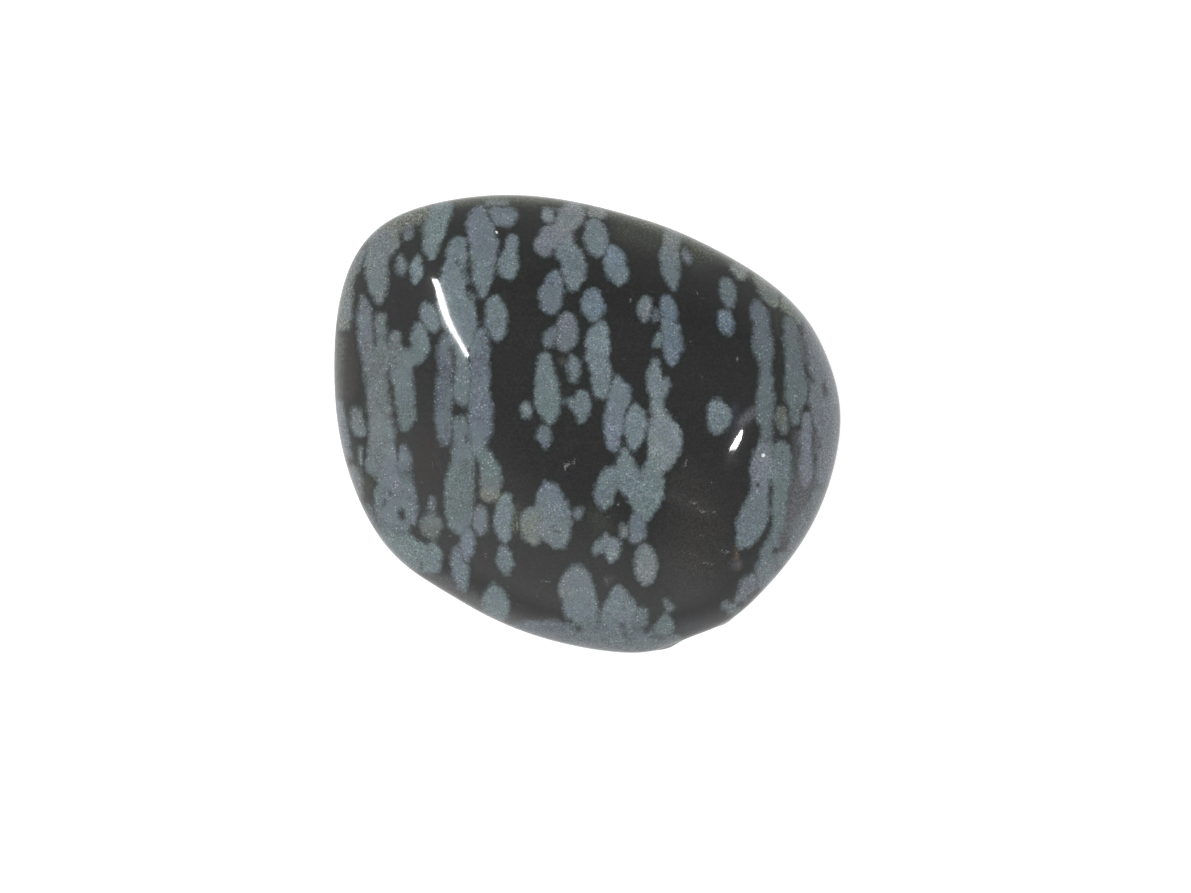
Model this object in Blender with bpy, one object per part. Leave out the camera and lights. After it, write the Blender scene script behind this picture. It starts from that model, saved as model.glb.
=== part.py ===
"""Tumbled snowflake obsidian: one polished pebble of volcanic glass, lying on its flatter side.

The pebble is a rounded body. Seen from above it fills OUTLINE, and from there its sides bulge up to the
crown and down to the base. A few broad facets that tumbling left are pressed softly into it, and its
lowest part is worn to a small flat foot, on which it rests. Metres, +Z up, with the origin in the
foot's plane, below the middle of the pebble's box.
"""

import math

import bmesh
import bpy
import numpy as np

MM = 0.001

LENGTH = 30.0 * MM  # longest way across, along X
CROWN_HEIGHT = 9.3 * MM  # from the widest section up to the crown
BASE_DEPTH = 8.2 * MM  # from the widest section down to the base, before it is worn flat
FOOT_WEAR = 0.16 * MM  # what the flat foot takes off the base
CROWN_BULGE = 2.25  # 2 makes the section an ellipse, and more makes it fuller at the shoulders
BASE_BULGE = 2.6
FACET_SOFTNESS = 16  # a lower power rounds the facets' edges more
SUBDIVISIONS = 5  # of the icosphere: 5120 triangles before the foot is cut

# The outline seen from above, anticlockwise from the right end, in millimetres from the middle of its
# box. Between these points it follows one smooth closed curve.
OUTLINE = (
    (15.00, 0.56),
    (14.75, 2.32),
    (14.26, 3.82),
    (13.29, 5.80),
    (11.34, 7.91),
    (7.80, 10.20),
    (4.26, 11.80),
    (2.20, 12.42),
    (-0.44, 13.08),
    (-5.18, 13.53),
    (-9.32, 12.98),
    (-11.69, 12.15),
    (-13.22, 10.91),
    (-14.44, 8.54),
    (-14.97, 4.40),
    (-14.64, -0.63),
    (-13.52, -4.36),
    (-11.69, -7.43),
    (-9.91, -8.97),
    (-8.34, -9.92),
    (-6.95, -10.76),
    (-3.99, -12.17),
    (-0.44, -13.17),
    (2.22, -13.53),
    (4.29, -13.38),
    (6.07, -12.58),
    (7.84, -11.99),
    (10.14, -10.14),
    (12.03, -7.95),
    (13.78, -4.96),
    (14.86, -1.24),
)

# Broad facets: the way each one faces (azimuth and elevation in degrees) and how far from the middle of
# the pebble its plane lies.
FACETS = (
    ("crown", 20.0, 84.0, 9.0 * MM),
    ("upper_left_slope", 150.0, 52.0, 12.4 * MM),
    ("lower_left_slope", 215.0, 55.0, 11.6 * MM),
    ("right_slope", 350.0, 56.0, 12.0 * MM),
    ("far_slope", 80.0, 50.0, 11.8 * MM),
    ("near_slope", 285.0, 58.0, 11.7 * MM),
    ("left_under_slope", 175.0, -48.0, 12.3 * MM),
    ("right_under_slope", 25.0, -52.0, 11.7 * MM),
    ("near_under_slope", 300.0, -46.0, 12.0 * MM),
)

GLASS_COLOUR = (0.012, 0.012, 0.013, 1.0)
GLASS_ROUGHNESS = 0.07
GLASS_IOR = 1.49


def clear_scene():
    for thing in list(bpy.data.objects):
        bpy.data.objects.remove(thing, do_unlink=True)


def closed_curve(angles, values):
    """A function of the angle: the smooth closed cubic curve through the values, which rise in angle."""
    count = len(angles)
    steps = np.diff(np.append(angles, angles[0] + 2 * math.pi))
    slopes = (np.roll(values, -1) - values) / steps
    system = np.zeros((count, count))
    for i in range(count):
        system[i, i - 1] = steps[i - 1]
        system[i, i] = 2 * (steps[i - 1] + steps[i])
        system[i, (i + 1) % count] = steps[i]
    bends = np.linalg.solve(system, 6 * (slopes - np.roll(slopes, 1)))

    def at(angle):
        turned = (angle - angles[0]) % (2 * math.pi)
        i = np.clip(np.searchsorted(angles - angles[0], turned, side="right") - 1, 0, count - 1)
        after = (i + 1) % count
        gone = turned - (angles[i] - angles[0])
        left = steps[i] - gone
        return (
            bends[i] * left**3 / (6 * steps[i])
            + bends[after] * gone**3 / (6 * steps[i])
            + (values[i] / steps[i] - bends[i] * steps[i] / 6) * left
            + (values[after] / steps[i] - bends[after] * steps[i] / 6) * gone
        )

    return at


def outline_radius():
    """A function of the azimuth: how far the outline is from its middle, in metres."""
    points = np.array(OUTLINE) * MM
    angles = np.arctan2(points[:, 1], points[:, 0]) % (2 * math.pi)
    order = np.argsort(angles)
    return closed_curve(angles[order], np.hypot(points[:, 0], points[:, 1])[order])


def facing(azimuth, elevation):
    azimuth, elevation = math.radians(azimuth), math.radians(elevation)
    return np.array(
        (
            math.cos(azimuth) * math.cos(elevation),
            math.sin(azimuth) * math.cos(elevation),
            math.sin(elevation),
        )
    )


def pebble_radius(directions):
    """How far the pebble's skin is from its middle in each direction."""
    flat = np.hypot(directions[:, 0], directions[:, 1])
    across = outline_radius()(np.arctan2(directions[:, 1], directions[:, 0]))
    up = directions[:, 2] > 0
    bulge = np.where(up, CROWN_BULGE, BASE_BULGE)
    height = np.where(up, CROWN_HEIGHT, BASE_DEPTH)
    body = ((flat / across) ** bulge + (np.abs(directions[:, 2]) / height) ** bulge) ** (1 / bulge)
    pressed = body**FACET_SOFTNESS
    for _, azimuth, elevation, distance in FACETS:
        towards = np.clip(directions @ facing(azimuth, elevation), 0, None) / distance
        pressed = pressed + towards**FACET_SOFTNESS
    return pressed ** (-1 / FACET_SOFTNESS)


def shape_body(mesh):
    """Moves an icosphere's points out to the pebble's skin, with the box centred and LENGTH long."""
    directions = np.array([vert.co.normalized() for vert in mesh.verts])
    points = directions * pebble_radius(directions)[:, None]
    low, high = points.min(axis=0), points.max(axis=0)
    points = (points - (low + high) / 2) * LENGTH / (high[0] - low[0])
    for vert, point in zip(mesh.verts, points):
        vert.co = point


def wear_foot(mesh):
    """Cuts the lowest part off flat, closes the cut and sets it on the ground."""
    ground = min(vert.co.z for vert in mesh.verts) + FOOT_WEAR
    cut = bmesh.ops.bisect_plane(
        mesh,
        geom=mesh.verts[:] + mesh.edges[:] + mesh.faces[:],
        plane_co=(0, 0, ground),
        plane_no=(0, 0, 1),
        clear_inner=True,
    )
    rim = [part for part in cut["geom_cut"] if isinstance(part, bmesh.types.BMEdge)]
    bmesh.ops.edgeloop_fill(mesh, edges=rim)
    bmesh.ops.translate(mesh, verts=mesh.verts[:], vec=(0, 0, -ground))
    bmesh.ops.recalc_face_normals(mesh, faces=mesh.faces[:])


def polished_glass():
    material = bpy.data.materials.new("polished_obsidian")
    material.use_nodes = True
    shader = material.node_tree.nodes["Principled BSDF"]
    shader.inputs["Base Color"].default_value = GLASS_COLOUR
    shader.inputs["Roughness"].default_value = GLASS_ROUGHNESS
    shader.inputs["Metallic"].default_value = 0.0
    shader.inputs["IOR"].default_value = GLASS_IOR
    return material


def make_pebble():
    shape = bmesh.new()
    bmesh.ops.create_icosphere(shape, subdivisions=SUBDIVISIONS, radius=LENGTH / 2)
    shape_body(shape)
    wear_foot(shape)
    mesh = bpy.data.meshes.new("obsidian_pebble")
    shape.to_mesh(mesh)
    shape.free()
    mesh.shade_smooth()
    mesh.set_sharp_from_angle(angle=math.radians(35))
    mesh.materials.append(polished_glass())
    pebble = bpy.data.objects.new("obsidian_pebble", mesh)
    bpy.context.scene.collection.objects.link(pebble)
    return pebble


clear_scene()
make_pebble()
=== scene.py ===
"""Looks of one tumbled piece of snowflake obsidian, seen from straight above on a pale plain floor.

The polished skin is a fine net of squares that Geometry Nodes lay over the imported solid. The grey
snowflakes are colour only: each one is a stroke with a few knots, and the net's points carry how deep
they lie inside the nearest stroke. Places in the tables below are millimetres from the middle of the
stone's box, +X right and +Y up, as seen from EYE in the plane of the stone's widest section.
"""

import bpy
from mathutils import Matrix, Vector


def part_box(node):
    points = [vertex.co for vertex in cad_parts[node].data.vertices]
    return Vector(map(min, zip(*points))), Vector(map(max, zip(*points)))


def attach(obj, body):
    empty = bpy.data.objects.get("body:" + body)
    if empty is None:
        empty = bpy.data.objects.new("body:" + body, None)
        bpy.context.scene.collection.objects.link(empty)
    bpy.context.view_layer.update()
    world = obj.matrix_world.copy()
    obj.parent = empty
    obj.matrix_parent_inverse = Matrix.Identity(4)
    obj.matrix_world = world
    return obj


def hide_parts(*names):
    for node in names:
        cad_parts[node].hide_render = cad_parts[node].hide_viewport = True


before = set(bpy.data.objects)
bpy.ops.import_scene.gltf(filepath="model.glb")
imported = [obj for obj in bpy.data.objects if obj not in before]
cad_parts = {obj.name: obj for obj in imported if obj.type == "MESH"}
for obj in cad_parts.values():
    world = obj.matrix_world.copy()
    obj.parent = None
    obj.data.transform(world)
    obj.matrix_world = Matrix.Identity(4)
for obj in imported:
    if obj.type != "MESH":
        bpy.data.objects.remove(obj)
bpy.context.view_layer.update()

import math
from functools import partial

import bmesh
import bpy
import numpy as np
from mathutils import Matrix, Vector
from mathutils.bvhtree import BVHTree

bl_info = {
    "name": "Snowflake obsidian pebble",
    "version": (1, 0, 0),
    "blender": (4, 5, 0),
    "location": "3D View > Sidebar > Obsidian",
    "description": "Polishes the packed pebble, grows its snowflakes and sets it on a pale floor",
    "category": "Object",
}

MM = 0.001
STONE = "obsidian_pebble"
WIDEST_HEIGHT = 8.2  # of the widest section above the foot in mm, where the outline shows
EYE = (0.473, -1.331, 308.2)  # where the picture is taken from, in mm
SENSOR_WIDTH = 36.0  # of the camera, in mm
WELD_DISTANCE = 0.001 * MM
RAY_LENGTH = 100 * MM  # past any point of the stone
CURVE_SHARES = (0.0, 0.25, 0.5, 0.75)  # of the way between two knots, where a smooth curve has its points

# The kinds of node that are used most.
MATHS = "ShaderNodeMath"
VECTOR = "ShaderNodeVectorMath"
NOISE = "ShaderNodeTexNoise"
RAMP = "ShaderNodeMapRange"
MIX = "ShaderNodeMix"
SMOOTH = {"interpolation_type": "SMOOTHSTEP"}

# The room that the stone mirrors: how light the ceiling and the walls are, and patches that add to this
# or take from it. A patch has a strength and sets in from low to high along one or two directions.
UP = (0.0, 0.0, 1.0)
CEILING_LIGHT = 0.49
WALL_LIGHT = 0.66
ROOM_PATCHES = (
    # The window at the near left, above the table.
    ("ADD", 0.48, ((-0.55, -0.83, 0.0), 0.05, 0.75), (UP, -0.25, 0.15)),
    # The far wall, the table beyond the stone and the table right under its near side are darker.
    ("SUBTRACT", 0.16, ((0.35, 0.94, 0.0), 0.3, 0.9)),
    ("SUBTRACT", 0.18, (UP, -0.2, -0.7), ((-0.09, 0.996, 0.0), 0.22, 0.45)),
    ("SUBTRACT", 0.2, (UP, -0.5, -0.88), ((0.0, -1.0, 0.0), 0.05, 0.35)),
)

# The left lamp from end to end, as seen from the stone: azimuth and elevation in degrees, width in mm.
LEFT_LAMP = (
    (140.3, 18.8, 17),
    (141.7, 20.6, 17),
    (145.0, 25.9, 19),
    (148.4, 33.2, 13),
    (151.8, 43.0, 8.5),
    (154.3, 48.8, 9),
    (156.6, 53.7, 7),
)
# The right lamp widens downwards, so it is built of upright rungs: azimuth, lowest and highest elevation.
RIGHT_LAMP = (
    (-5.4, 45.1, 46.7),
    (-6.1, 44.9, 47.1),
    (-6.8, 44.8, 48.1),
    (-7.5, 44.8, 48.7),
    (-8.2, 45.4, 49.1),
    (-8.9, 45.8, 49.5),
    (-9.35, 46.3, 50.1),
)
RUNG_WIDTH = 5.5  # in mm
LAMP_DISTANCE = 0.5  # of both lamps from the stone, in metres
# The fill hangs above the stone and is square. Its ends and its width are in metres.
FILL_ENDS = ((0, -0.35, 0.5), (0, 0.35, 0.5))
FILL_WIDTH = 0.7

# The floor in metres: how far it reaches to each side, how far it lies below the foot, and its grain.
FLOOR_REACH = 1.5
FLOOR_DROP = 0.02 * MM
FLOOR_GRAIN = 4.0 * MM
FLOOR_LIGHTEST = "#EDEDED"
FLOOR_ROUGHNESS = 0.6
FLOOR_GLOSS = 0.2

# The pattern of the upper side runs down to a hem round the widest section. The hem's waves: height in
# mm, and how fast each one runs along X and Y, in radians per mm. Below it the strokes end, by this much
# for each mm.
HEM_WAVES = ((0.7, 2.1, 0.6), (0.5, -1.1, 3.3))
HEM_FADE = 0.6

# How the tints of neighbouring strokes run into each other, in mm.
TINT_BLUR = 0.22
TINT_DEPTH = 0.8
TRACE = 1e-4  # of the first tint, so that no point is left without one
DUST_FADE = 0.12  # how far the edge of a wisp fades, in mm

# Snowflakes that the picture doesn't show are drawn at random. Sizes are in mm, shares of 1.
HIDDEN_TINTS = ("slate", "slate", "slate", "blue", "green", "violet", "lilac", "beige")
HIDDEN_TONE = 0.9
HIDDEN_BELOW = 0.6  # how far under the widest section they begin
HIDDEN_CLEARANCE = 0.5  # from the snowflakes that the picture shows
HIDDEN_SPACING = 1.55
HIDDEN_CLOSENESS = (1.0, 0.55, 0.9)  # along X, Y and Z: they follow each other closely along Y
HIDDEN_GAPS = 0.22  # share of the places that stay bare
HIDDEN_LENGTHS = (0.6, 3.8)
HIDDEN_HALF_WIDTHS = (0.35, 0.72)
HIDDEN_SMALL_ONES = 0.15  # share of the snowflakes
HIDDEN_SMALL_SIZE = (0.4, 0.25)  # length and half width
HIDDEN_KNOT_SPACING = 0.9
HIDDEN_LEAN = 0.12  # how far a stroke usually leans for each mm of its length
HIDDEN_WOBBLE = 0.1  # how far a knot usually lies beside its stroke's line
HIDDEN_TAPER = 0.35  # share by which the ends are thinner than the middle
HIDDEN_SWELL = 0.08  # share by which a knot is usually thicker or thinner
HIDDEN_THINNEST = 0.3  # share of the half width

# Patterns in the stone's material, with sizes in mm.
FINEST = 0.2  # noise finer than this is drawn out upright, as dots are, so that it shows from above
DRAWN_OUT = (1.0, 1.0, 0.45)
DOT_EDGE = (1.3, 0.6)  # from where to where a dot sets in, as shares of its radius
BELT = (5.0, 2.0)  # from where to where the belt sets in, above and below the widest section
EDGE_WAVES = ((0.8, 0.44, 2.0), (0.32, 0.24, 1.0), (0.1, 0.14, 1.0))  # size, swing and detail
# From where to where these set in: the frosted rim of a snowflake and the dark seam in the glass around
# it, by the depth inside it, and the seam between two snowflakes, by how much deeper a point lies in one
# than in the other.
RIM = (0.5, 0.1)
SEAM = (-0.5, -0.12)
JOINT = (0.3, 0.02)
# How a painted highlight sets in, by the depth inside a glint.
PAINTED_GLINT_EDGE = (0.0, 0.08)
DUSTY = (0.76, 1.06)  # the sums of noise and density between which a grain of dust sets in
WEAR_HEIGHT = 0.03
# Which tints of the glass count as hazy, by their green, and as mossy, by how much their green is over
# their blue, in linear light.
HAZY = (0.012, 0.04)
MOSSY = (0.002, 0.012)
SALT_GAIN = (2.6, 2.6, 2.4, 1.0)  # how much lighter a light grain is than the glass around it
GLASS_IOR = 1.49
# A trace of polishing haze puts a soft glow round each mirrored lamp.
HAZE_WEIGHT = 0.07
HAZE_ROUGHNESS = 0.2

# What the snowflakes and the glass look like in plain white light, before gloss.
FLAKE_TINTS = {
    "slate": "#5E6A6F",
    "blue": "#5F6D79",
    "green": "#5C6A6B",
    "violet": "#5C656F",
    "lilac": "#62676F",
    "mauve": "#696E70",
    "beige": "#676C68",
    "olive": "#61675E",
    "tan": "#77725F",
    "sage": "#616455",
    "left": "#5D6566",
    "pale": "#6A7376",
    "white": "#B4B9BB",
    # a painted highlight, for the painted glints
    "painted_glint": "#E7E7E7",
}
GLASS_TINTS = {
    "black": "#19191B",
    "warm": "#1C1815",
    "pine": "#131916",
    "ink": "#2B3038",
    "umber": "#2E2B27",
    "moss": "#3A4034",
    "smoke": "#484A4B",
    "plum": "#434248",
    "frost": "#636860",
    "brown": "#3E3B36",
    "rust": "#65543F",
    "dust": "#8A8C88",
    "mist": "#5A5C61",
    "joint": "#2B3735",
}

# Snowflakes that the polish cuts on the upper side, read one by one: tint, tone and knots (x, y, half
# width).
FLAKES = (
    # Far left column, top to bottom, with the masses that it runs into.
    ("left", 1.0, ((-11.5, 11.2, 0.4), (-11.9, 10.95, 0.62), (-12.36, 10.45, 0.74), (-12.5, 9.8, 0.72),
        (-12.53, 9.2, 0.68), (-12.42, 8.6, 0.62), (-12.39, 7.93, 0.45), (-12.34, 7.25, 0.15))),
    ("sage", 1.0, ((-11.5, 11.2, 0.4), (-11.55, 10.7, 0.42), (-11.7, 10.3, 0.25))),
    ("beige", 0.96, ((-12.36, 10.45, 0.55), (-12.55, 9.8, 0.5), (-12.5, 9.3, 0.4))),
    ("lilac", 0.74, ((-13.3, 7.4, 0.18), (-13.2, 6.6, 0.4), (-13.18, 5.7, 0.42), (-13.1, 4.9, 0.45),
        (-12.9, 4.0, 0.5))),
    ("left", 0.77, ((-12.9, 4.0, 0.5), (-12.2, 4.1, 0.55), (-11.2, 3.9, 0.65), (-10.4, 3.85, 0.5))),
    ("left", 0.82, ((-12.2, 4.1, 0.4), (-12.25, 4.8, 0.38), (-12.25, 5.6, 0.38), (-12.25, 6.3, 0.28))),
    ("left", 0.84, ((-11.2, 3.9, 0.62), (-11.4, 4.5, 0.5), (-11.4, 5.2, 0.3))),
    ("left", 0.8, ((-12.2, 4.1, 0.6), (-12.5, 3.2, 0.7), (-12.4, 2.4, 0.7), (-12.3, 1.4, 0.72),
        (-12.2, 0.4, 0.75), (-12.2, -0.6, 0.75), (-12.2, -1.5, 0.85), (-12.2, -2.2, 0.95))),
    ("green", 0.92, ((-10.4, 3.85, 0.5), (-10.0, 4.3, 0.52), (-9.95, 4.9, 0.5), (-9.98, 5.7, 0.35))),
    ("green", 0.75, ((-11.2, 3.9, 0.6), (-11.0, 3.2, 0.65), (-10.9, 2.4, 0.6), (-10.8, 1.6, 0.55),
        (-10.72, 0.8, 0.52), (-10.72, 0.2, 0.42), (-10.75, -0.25, 0.2))),
    ("slate", 0.75, ((-12.2, -2.2, 0.95), (-11.8, -2.9, 0.8), (-11.4, -3.6, 1.0), (-11.35, -4.4, 1.25),
        (-11.4, -5.3, 1.25), (-11.5, -6.0, 0.95))),
    ("violet", 0.6, ((-11.4, -3.6, 0.8), (-11.45, -4.3, 0.85), (-11.45, -5.1, 0.7))),
    ("left", 0.95, ((-13.75, 0.8, 0.25), (-13.62, 0.2, 0.42), (-13.45, -0.45, 0.33))),
    ("violet", 0.73, ((-10.95, -1.5, 0.28), (-10.85, -2.1, 0.38), (-10.95, -2.7, 0.45),
        (-10.9, -3.4, 0.45))),
    ("green", 1.0, ((-12.0, -5.9, 0.6), (-11.6, -6.5, 0.8), (-11.1, -7.1, 0.85), (-10.5, -7.6, 0.85),
        (-9.9, -8.0, 0.75), (-9.4, -8.4, 0.45))),
    ("green", 1.0, ((-10.5, -7.6, 0.6), (-9.5, -7.6, 0.7), (-9.2, -8.1, 0.5), (-9.0, -8.5, 0.3))),
    ("beige", 0.56, ((-9.2, -5.5, 0.4), (-9.25, -5.95, 0.62), (-9.2, -6.5, 0.4))),
    ("lilac", 0.48, ((-9.15, -4.5, 0.16), (-9.2, -5.1, 0.22), (-9.2, -5.5, 0.3))),
    # The left rim.
    ("beige", 0.85, ((-12.95, 10.5, 0.16), (-13.5, 9.75, 0.26), (-13.95, 8.9, 0.28),
        (-14.25, 8.1, 0.38), (-14.38, 7.2, 0.46), (-14.4, 6.4, 0.48), (-14.38, 5.9, 0.36))),
    ("lilac", 0.83, ((-14.7, 1.2, 0.2), (-14.62, 0.3, 0.25), (-14.48, -0.8, 0.3), (-14.28, -1.8, 0.3))),
    ("beige", 0.74, ((-13.85, -2.8, 0.33), (-13.68, -3.5, 0.36), (-13.5, -4.1, 0.22))),
    ("beige", 0.72, ((-13.42, -1.4, 0.11), (-13.42, -2.25, 0.12))),
    ("slate", 0.45, ((-12.9, -5.0, 0.25), (-12.7, -5.6, 0.32))),
    # Upper left.
    ("lilac", 0.8, ((-10.56, 11.45, 0.26), (-10.58, 11.2, 0.28))),
    ("green", 1.15, ((-8.5, 12.85, 0.5), (-8.85, 12.1, 0.64), (-9.1, 11.3, 0.62), (-9.25, 10.6, 0.48),
        (-9.2, 9.9, 0.15))),
    ("slate", 0.87, ((-11.08, 9.95, 0.12), (-11.03, 9.45, 0.3), (-10.98, 9.0, 0.2))),
    ("slate", 1.1, ((-10.05, 9.8, 0.15), (-10.1, 9.25, 0.35), (-10.15, 8.85, 0.32), (-10.2, 8.45, 0.12))),
    ("slate", 1.0, ((-7.6, 10.75, 0.42), (-7.7, 10.2, 0.58), (-7.8, 9.6, 0.62), (-7.85, 8.8, 0.78),
        (-7.88, 7.8, 0.98), (-7.8, 6.8, 1.08), (-7.5, 5.9, 1.0), (-7.3, 5.2, 0.8))),
    ("violet", 1.01, ((-6.42, 12.5, 0.42), (-6.48, 12.1, 0.62), (-6.35, 11.5, 0.8),
        (-6.17, 10.9, 0.84), (-6.15, 10.2, 0.8))),
    ("slate", 0.98, ((-6.15, 10.2, 0.8), (-6.2, 9.3, 0.66), (-6.22, 8.5, 0.5), (-6.2, 7.75, 0.24))),
    ("mauve", 0.85, ((-6.15, 10.2, 0.5), (-5.75, 10.3, 0.34), (-5.62, 9.6, 0.24), (-5.6, 9.1, 0.12))),
    ("slate", 1.02, ((-5.4, 12.6, 0.42), (-5.2, 12.3, 0.5), (-4.75, 12.3, 0.6))),
    ("olive", 0.95, ((-5.8, 13.1, 0.22), (-4.9, 13.1, 0.25))),
    ("slate", 1.12, ((-4.45, 10.9, 0.28), (-4.5, 10.3, 0.4), (-4.62, 9.75, 0.55), (-4.7, 9.35, 0.64),
        (-4.67, 8.95, 0.42))),
    ("slate", 0.95, ((-9.5, 6.75, 0.38), (-9.4, 6.3, 0.5), (-9.1, 5.7, 0.32))),
    ("slate", 1.0, ((-5.5, 7.25, 0.35), (-5.42, 6.6, 0.62), (-5.4, 5.8, 0.6), (-5.35, 5.3, 0.35))),
    # Left of the middle.
    ("violet", 0.61, ((-8.4, 4.9, 0.4), (-8.4, 4.1, 0.5), (-8.4, 3.2, 0.45), (-8.5, 2.3, 0.48),
        (-8.5, 1.5, 0.52), (-8.5, 0.7, 0.52), (-8.5, -0.2, 0.5), (-8.4, -1.0, 0.3))),
    ("slate", 0.85, ((-7.5, 4.5, 0.35), (-7.45, 3.6, 0.45), (-7.4, 2.8, 0.52), (-7.45, 2.0, 0.52),
        (-7.3, 1.4, 0.35))),
    ("violet", 0.85, ((-6.4, 5.2, 0.5), (-6.4, 4.5, 0.6), (-6.4, 3.5, 0.58), (-6.42, 2.6, 0.58),
        (-6.42, 1.8, 0.65), (-6.38, 1.0, 0.7), (-6.35, 0.2, 0.68), (-6.4, -0.6, 0.62),
        (-6.7, -1.5, 0.5))),
    ("green", 0.76, ((-6.7, -1.5, 0.4), (-6.15, -1.9, 0.45), (-5.9, -2.3, 0.52), (-5.75, -3.0, 0.62),
        (-5.7, -3.6, 0.62), (-5.75, -4.1, 0.45))),
    ("tan", 0.78, ((-5.7, -3.6, 0.4), (-5.75, -4.0, 0.6))),
    ("green", 0.73, ((-7.6, 0.1, 0.42), (-7.45, -0.6, 0.52), (-7.3, -1.3, 0.68), (-7.35, -2.2, 0.75),
        (-7.45, -3.0, 0.75), (-7.55, -3.8, 0.85), (-7.6, -4.6, 0.9), (-7.55, -5.4, 0.85),
        (-7.5, -6.1, 0.5))),
    ("lilac", 0.71, ((-6.45, -5.2, 0.38), (-6.35, -5.8, 0.48), (-6.25, -6.3, 0.3))),
    ("violet", 0.9, ((-7.2, -6.1, 0.3), (-7.1, -6.8, 0.42), (-7.15, -7.3, 0.42), (-7.2, -7.9, 0.28))),
    ("violet", 0.96, ((-7.7, -7.6, 0.3), (-7.65, -8.3, 0.4), (-7.6, -8.9, 0.38), (-7.5, -9.5, 0.22))),
    ("green", 0.97, ((-7.65, -8.3, 0.3), (-7.35, -8.7, 0.35), (-7.35, -9.6, 0.2))),
    ("slate", 0.97, ((-4.85, -4.4, 0.35), (-4.93, -5.0, 0.5), (-4.95, -5.8, 0.52), (-4.92, -6.4, 0.42),
        (-4.9, -6.9, 0.2))),
    ("slate", 0.79, ((-5.0, -7.4, 0.25), (-4.92, -7.9, 0.42), (-4.88, -8.3, 0.44), (-4.8, -8.8, 0.15))),
    ("green", 0.99, ((-5.55, -9.75, 0.3), (-5.5, -10.2, 0.6), (-5.45, -10.7, 0.8), (-5.4, -11.3, 0.6))),
    # Upper middle.
    ("pale", 1.4, ((-2.33, 12.33, 0.4),)),
    ("mauve", 1.25, ((-0.85, 12.55, 0.7), (-1.2, 12.0, 0.72), (-1.4, 11.5, 0.62), (-1.5, 11.0, 0.62))),
    ("lilac", 1.1, ((-1.5, 11.0, 0.5), (-2.1, 11.15, 0.64), (-2.45, 10.75, 0.6), (-2.6, 10.45, 0.5))),
    ("slate", 1.07, ((-1.5, 11.0, 0.62), (-1.25, 10.3, 0.66), (-0.9, 9.7, 0.74), (-0.8, 9.0, 0.68),
        (-0.78, 8.3, 0.4))),
    ("violet", 1.0, ((-1.95, 8.7, 0.38), (-2.12, 7.95, 0.66), (-2.2, 7.3, 0.66), (-2.15, 6.95, 0.42))),
    ("slate", 1.1, ((0.45, 11.8, 0.42), (0.5, 11.2, 0.7), (0.6, 10.6, 0.65), (0.65, 10.2, 0.32))),
    ("beige", 1.28, ((0.3, 12.5, 0.3), (0.75, 12.4, 0.32))),
    ("blue", 1.19, ((1.48, 10.25, 0.38), (1.58, 9.7, 0.6), (1.76, 9.1, 0.66))),
    ("slate", 0.98, ((1.76, 9.1, 0.62), (1.92, 8.72, 0.5))),
    ("blue", 0.96, ((0.35, 7.65, 0.42), (0.28, 7.0, 0.68), (0.35, 6.4, 0.42))),
    ("lilac", 0.92, ((-1.2, 6.35, 0.28), (-1.22, 5.8, 0.58), (-1.25, 5.2, 0.66), (-1.35, 4.7, 0.38))),
    ("slate", 0.73, ((-1.25, 5.2, 0.3), (-2.2, 5.35, 0.3), (-2.3, 5.0, 0.34), (-2.2, 4.72, 0.24))),
    ("slate", 0.91, ((-0.85, 3.9, 0.22), (-0.8, 3.3, 0.4), (-0.78, 2.7, 0.26))),
    # Middle.
    ("green", 1.04, ((-2.55, 3.95, 0.33), (-2.48, 3.1, 0.55), (-2.4, 2.2, 0.68), (-2.33, 1.5, 0.74),
        (-2.3, 0.95, 0.65), (-2.25, 0.3, 0.3))),
    ("pale", 0.93, ((-3.7, 1.05, 0.27), (-3.62, 0.68, 0.33))),
    ("slate", 1.0, ((-0.3, 1.6, 0.38), (-0.35, 0.95, 0.5), (-0.42, 0.15, 0.16))),
    ("slate", 0.88, ((-0.35, 0.95, 0.4), (-1.1, 1.35, 0.26))),
    ("violet", 0.86, ((-2.58, -0.4, 0.34), (-2.56, -0.8, 0.42), (-2.5, -1.2, 0.26))),
    ("slate", 1.2, ((0.78, 5.8, 0.35), (0.62, 5.2, 0.65), (0.6, 4.6, 0.74), (0.6, 3.9, 0.6))),
    ("slate", 1.03, ((0.6, 3.9, 0.55), (0.78, 3.1, 0.62), (0.82, 2.4, 0.58), (0.85, 1.8, 0.38))),
    ("violet", 1.12, ((1.75, 2.5, 0.3), (1.88, 1.9, 0.6), (1.78, 1.3, 0.62), (1.6, 0.5, 0.56),
        (1.52, -0.3, 0.55), (1.55, -1.0, 0.42), (1.65, -1.5, 0.18))),
    ("slate", 1.17, ((2.85, 0.8, 0.36), (2.85, 0.3, 0.64), (2.85, -0.3, 0.66), (2.8, -0.8, 0.52),
        (2.75, -1.3, 0.26))),
    ("violet", 1.12, ((-2.5, -3.5, 0.12), (-2.35, -4.1, 0.6), (-2.15, -4.8, 0.95))),
    ("slate", 0.89, ((-2.15, -4.8, 0.95), (-2.0, -5.5, 1.05), (-1.9, -6.1, 0.95), (-1.75, -6.8, 0.52),
        (-1.45, -7.25, 0.14))),
    ("beige", 0.88, ((-2.0, -5.5, 0.4), (-3.15, -5.5, 0.62), (-3.25, -6.2, 0.74), (-3.15, -6.8, 0.35))),
    ("beige", 0.8, ((-1.9, -6.1, 0.6), (-2.3, -6.5, 0.5))),
    ("lilac", 0.67, ((-0.5, -5.1, 0.25), (-0.6, -5.4, 0.26))),
    # Right of the middle.
    ("beige", 1.38, ((5.05, 11.35, 0.5), (5.0, 10.9, 0.52), (4.9, 10.4, 0.5))),
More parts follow.
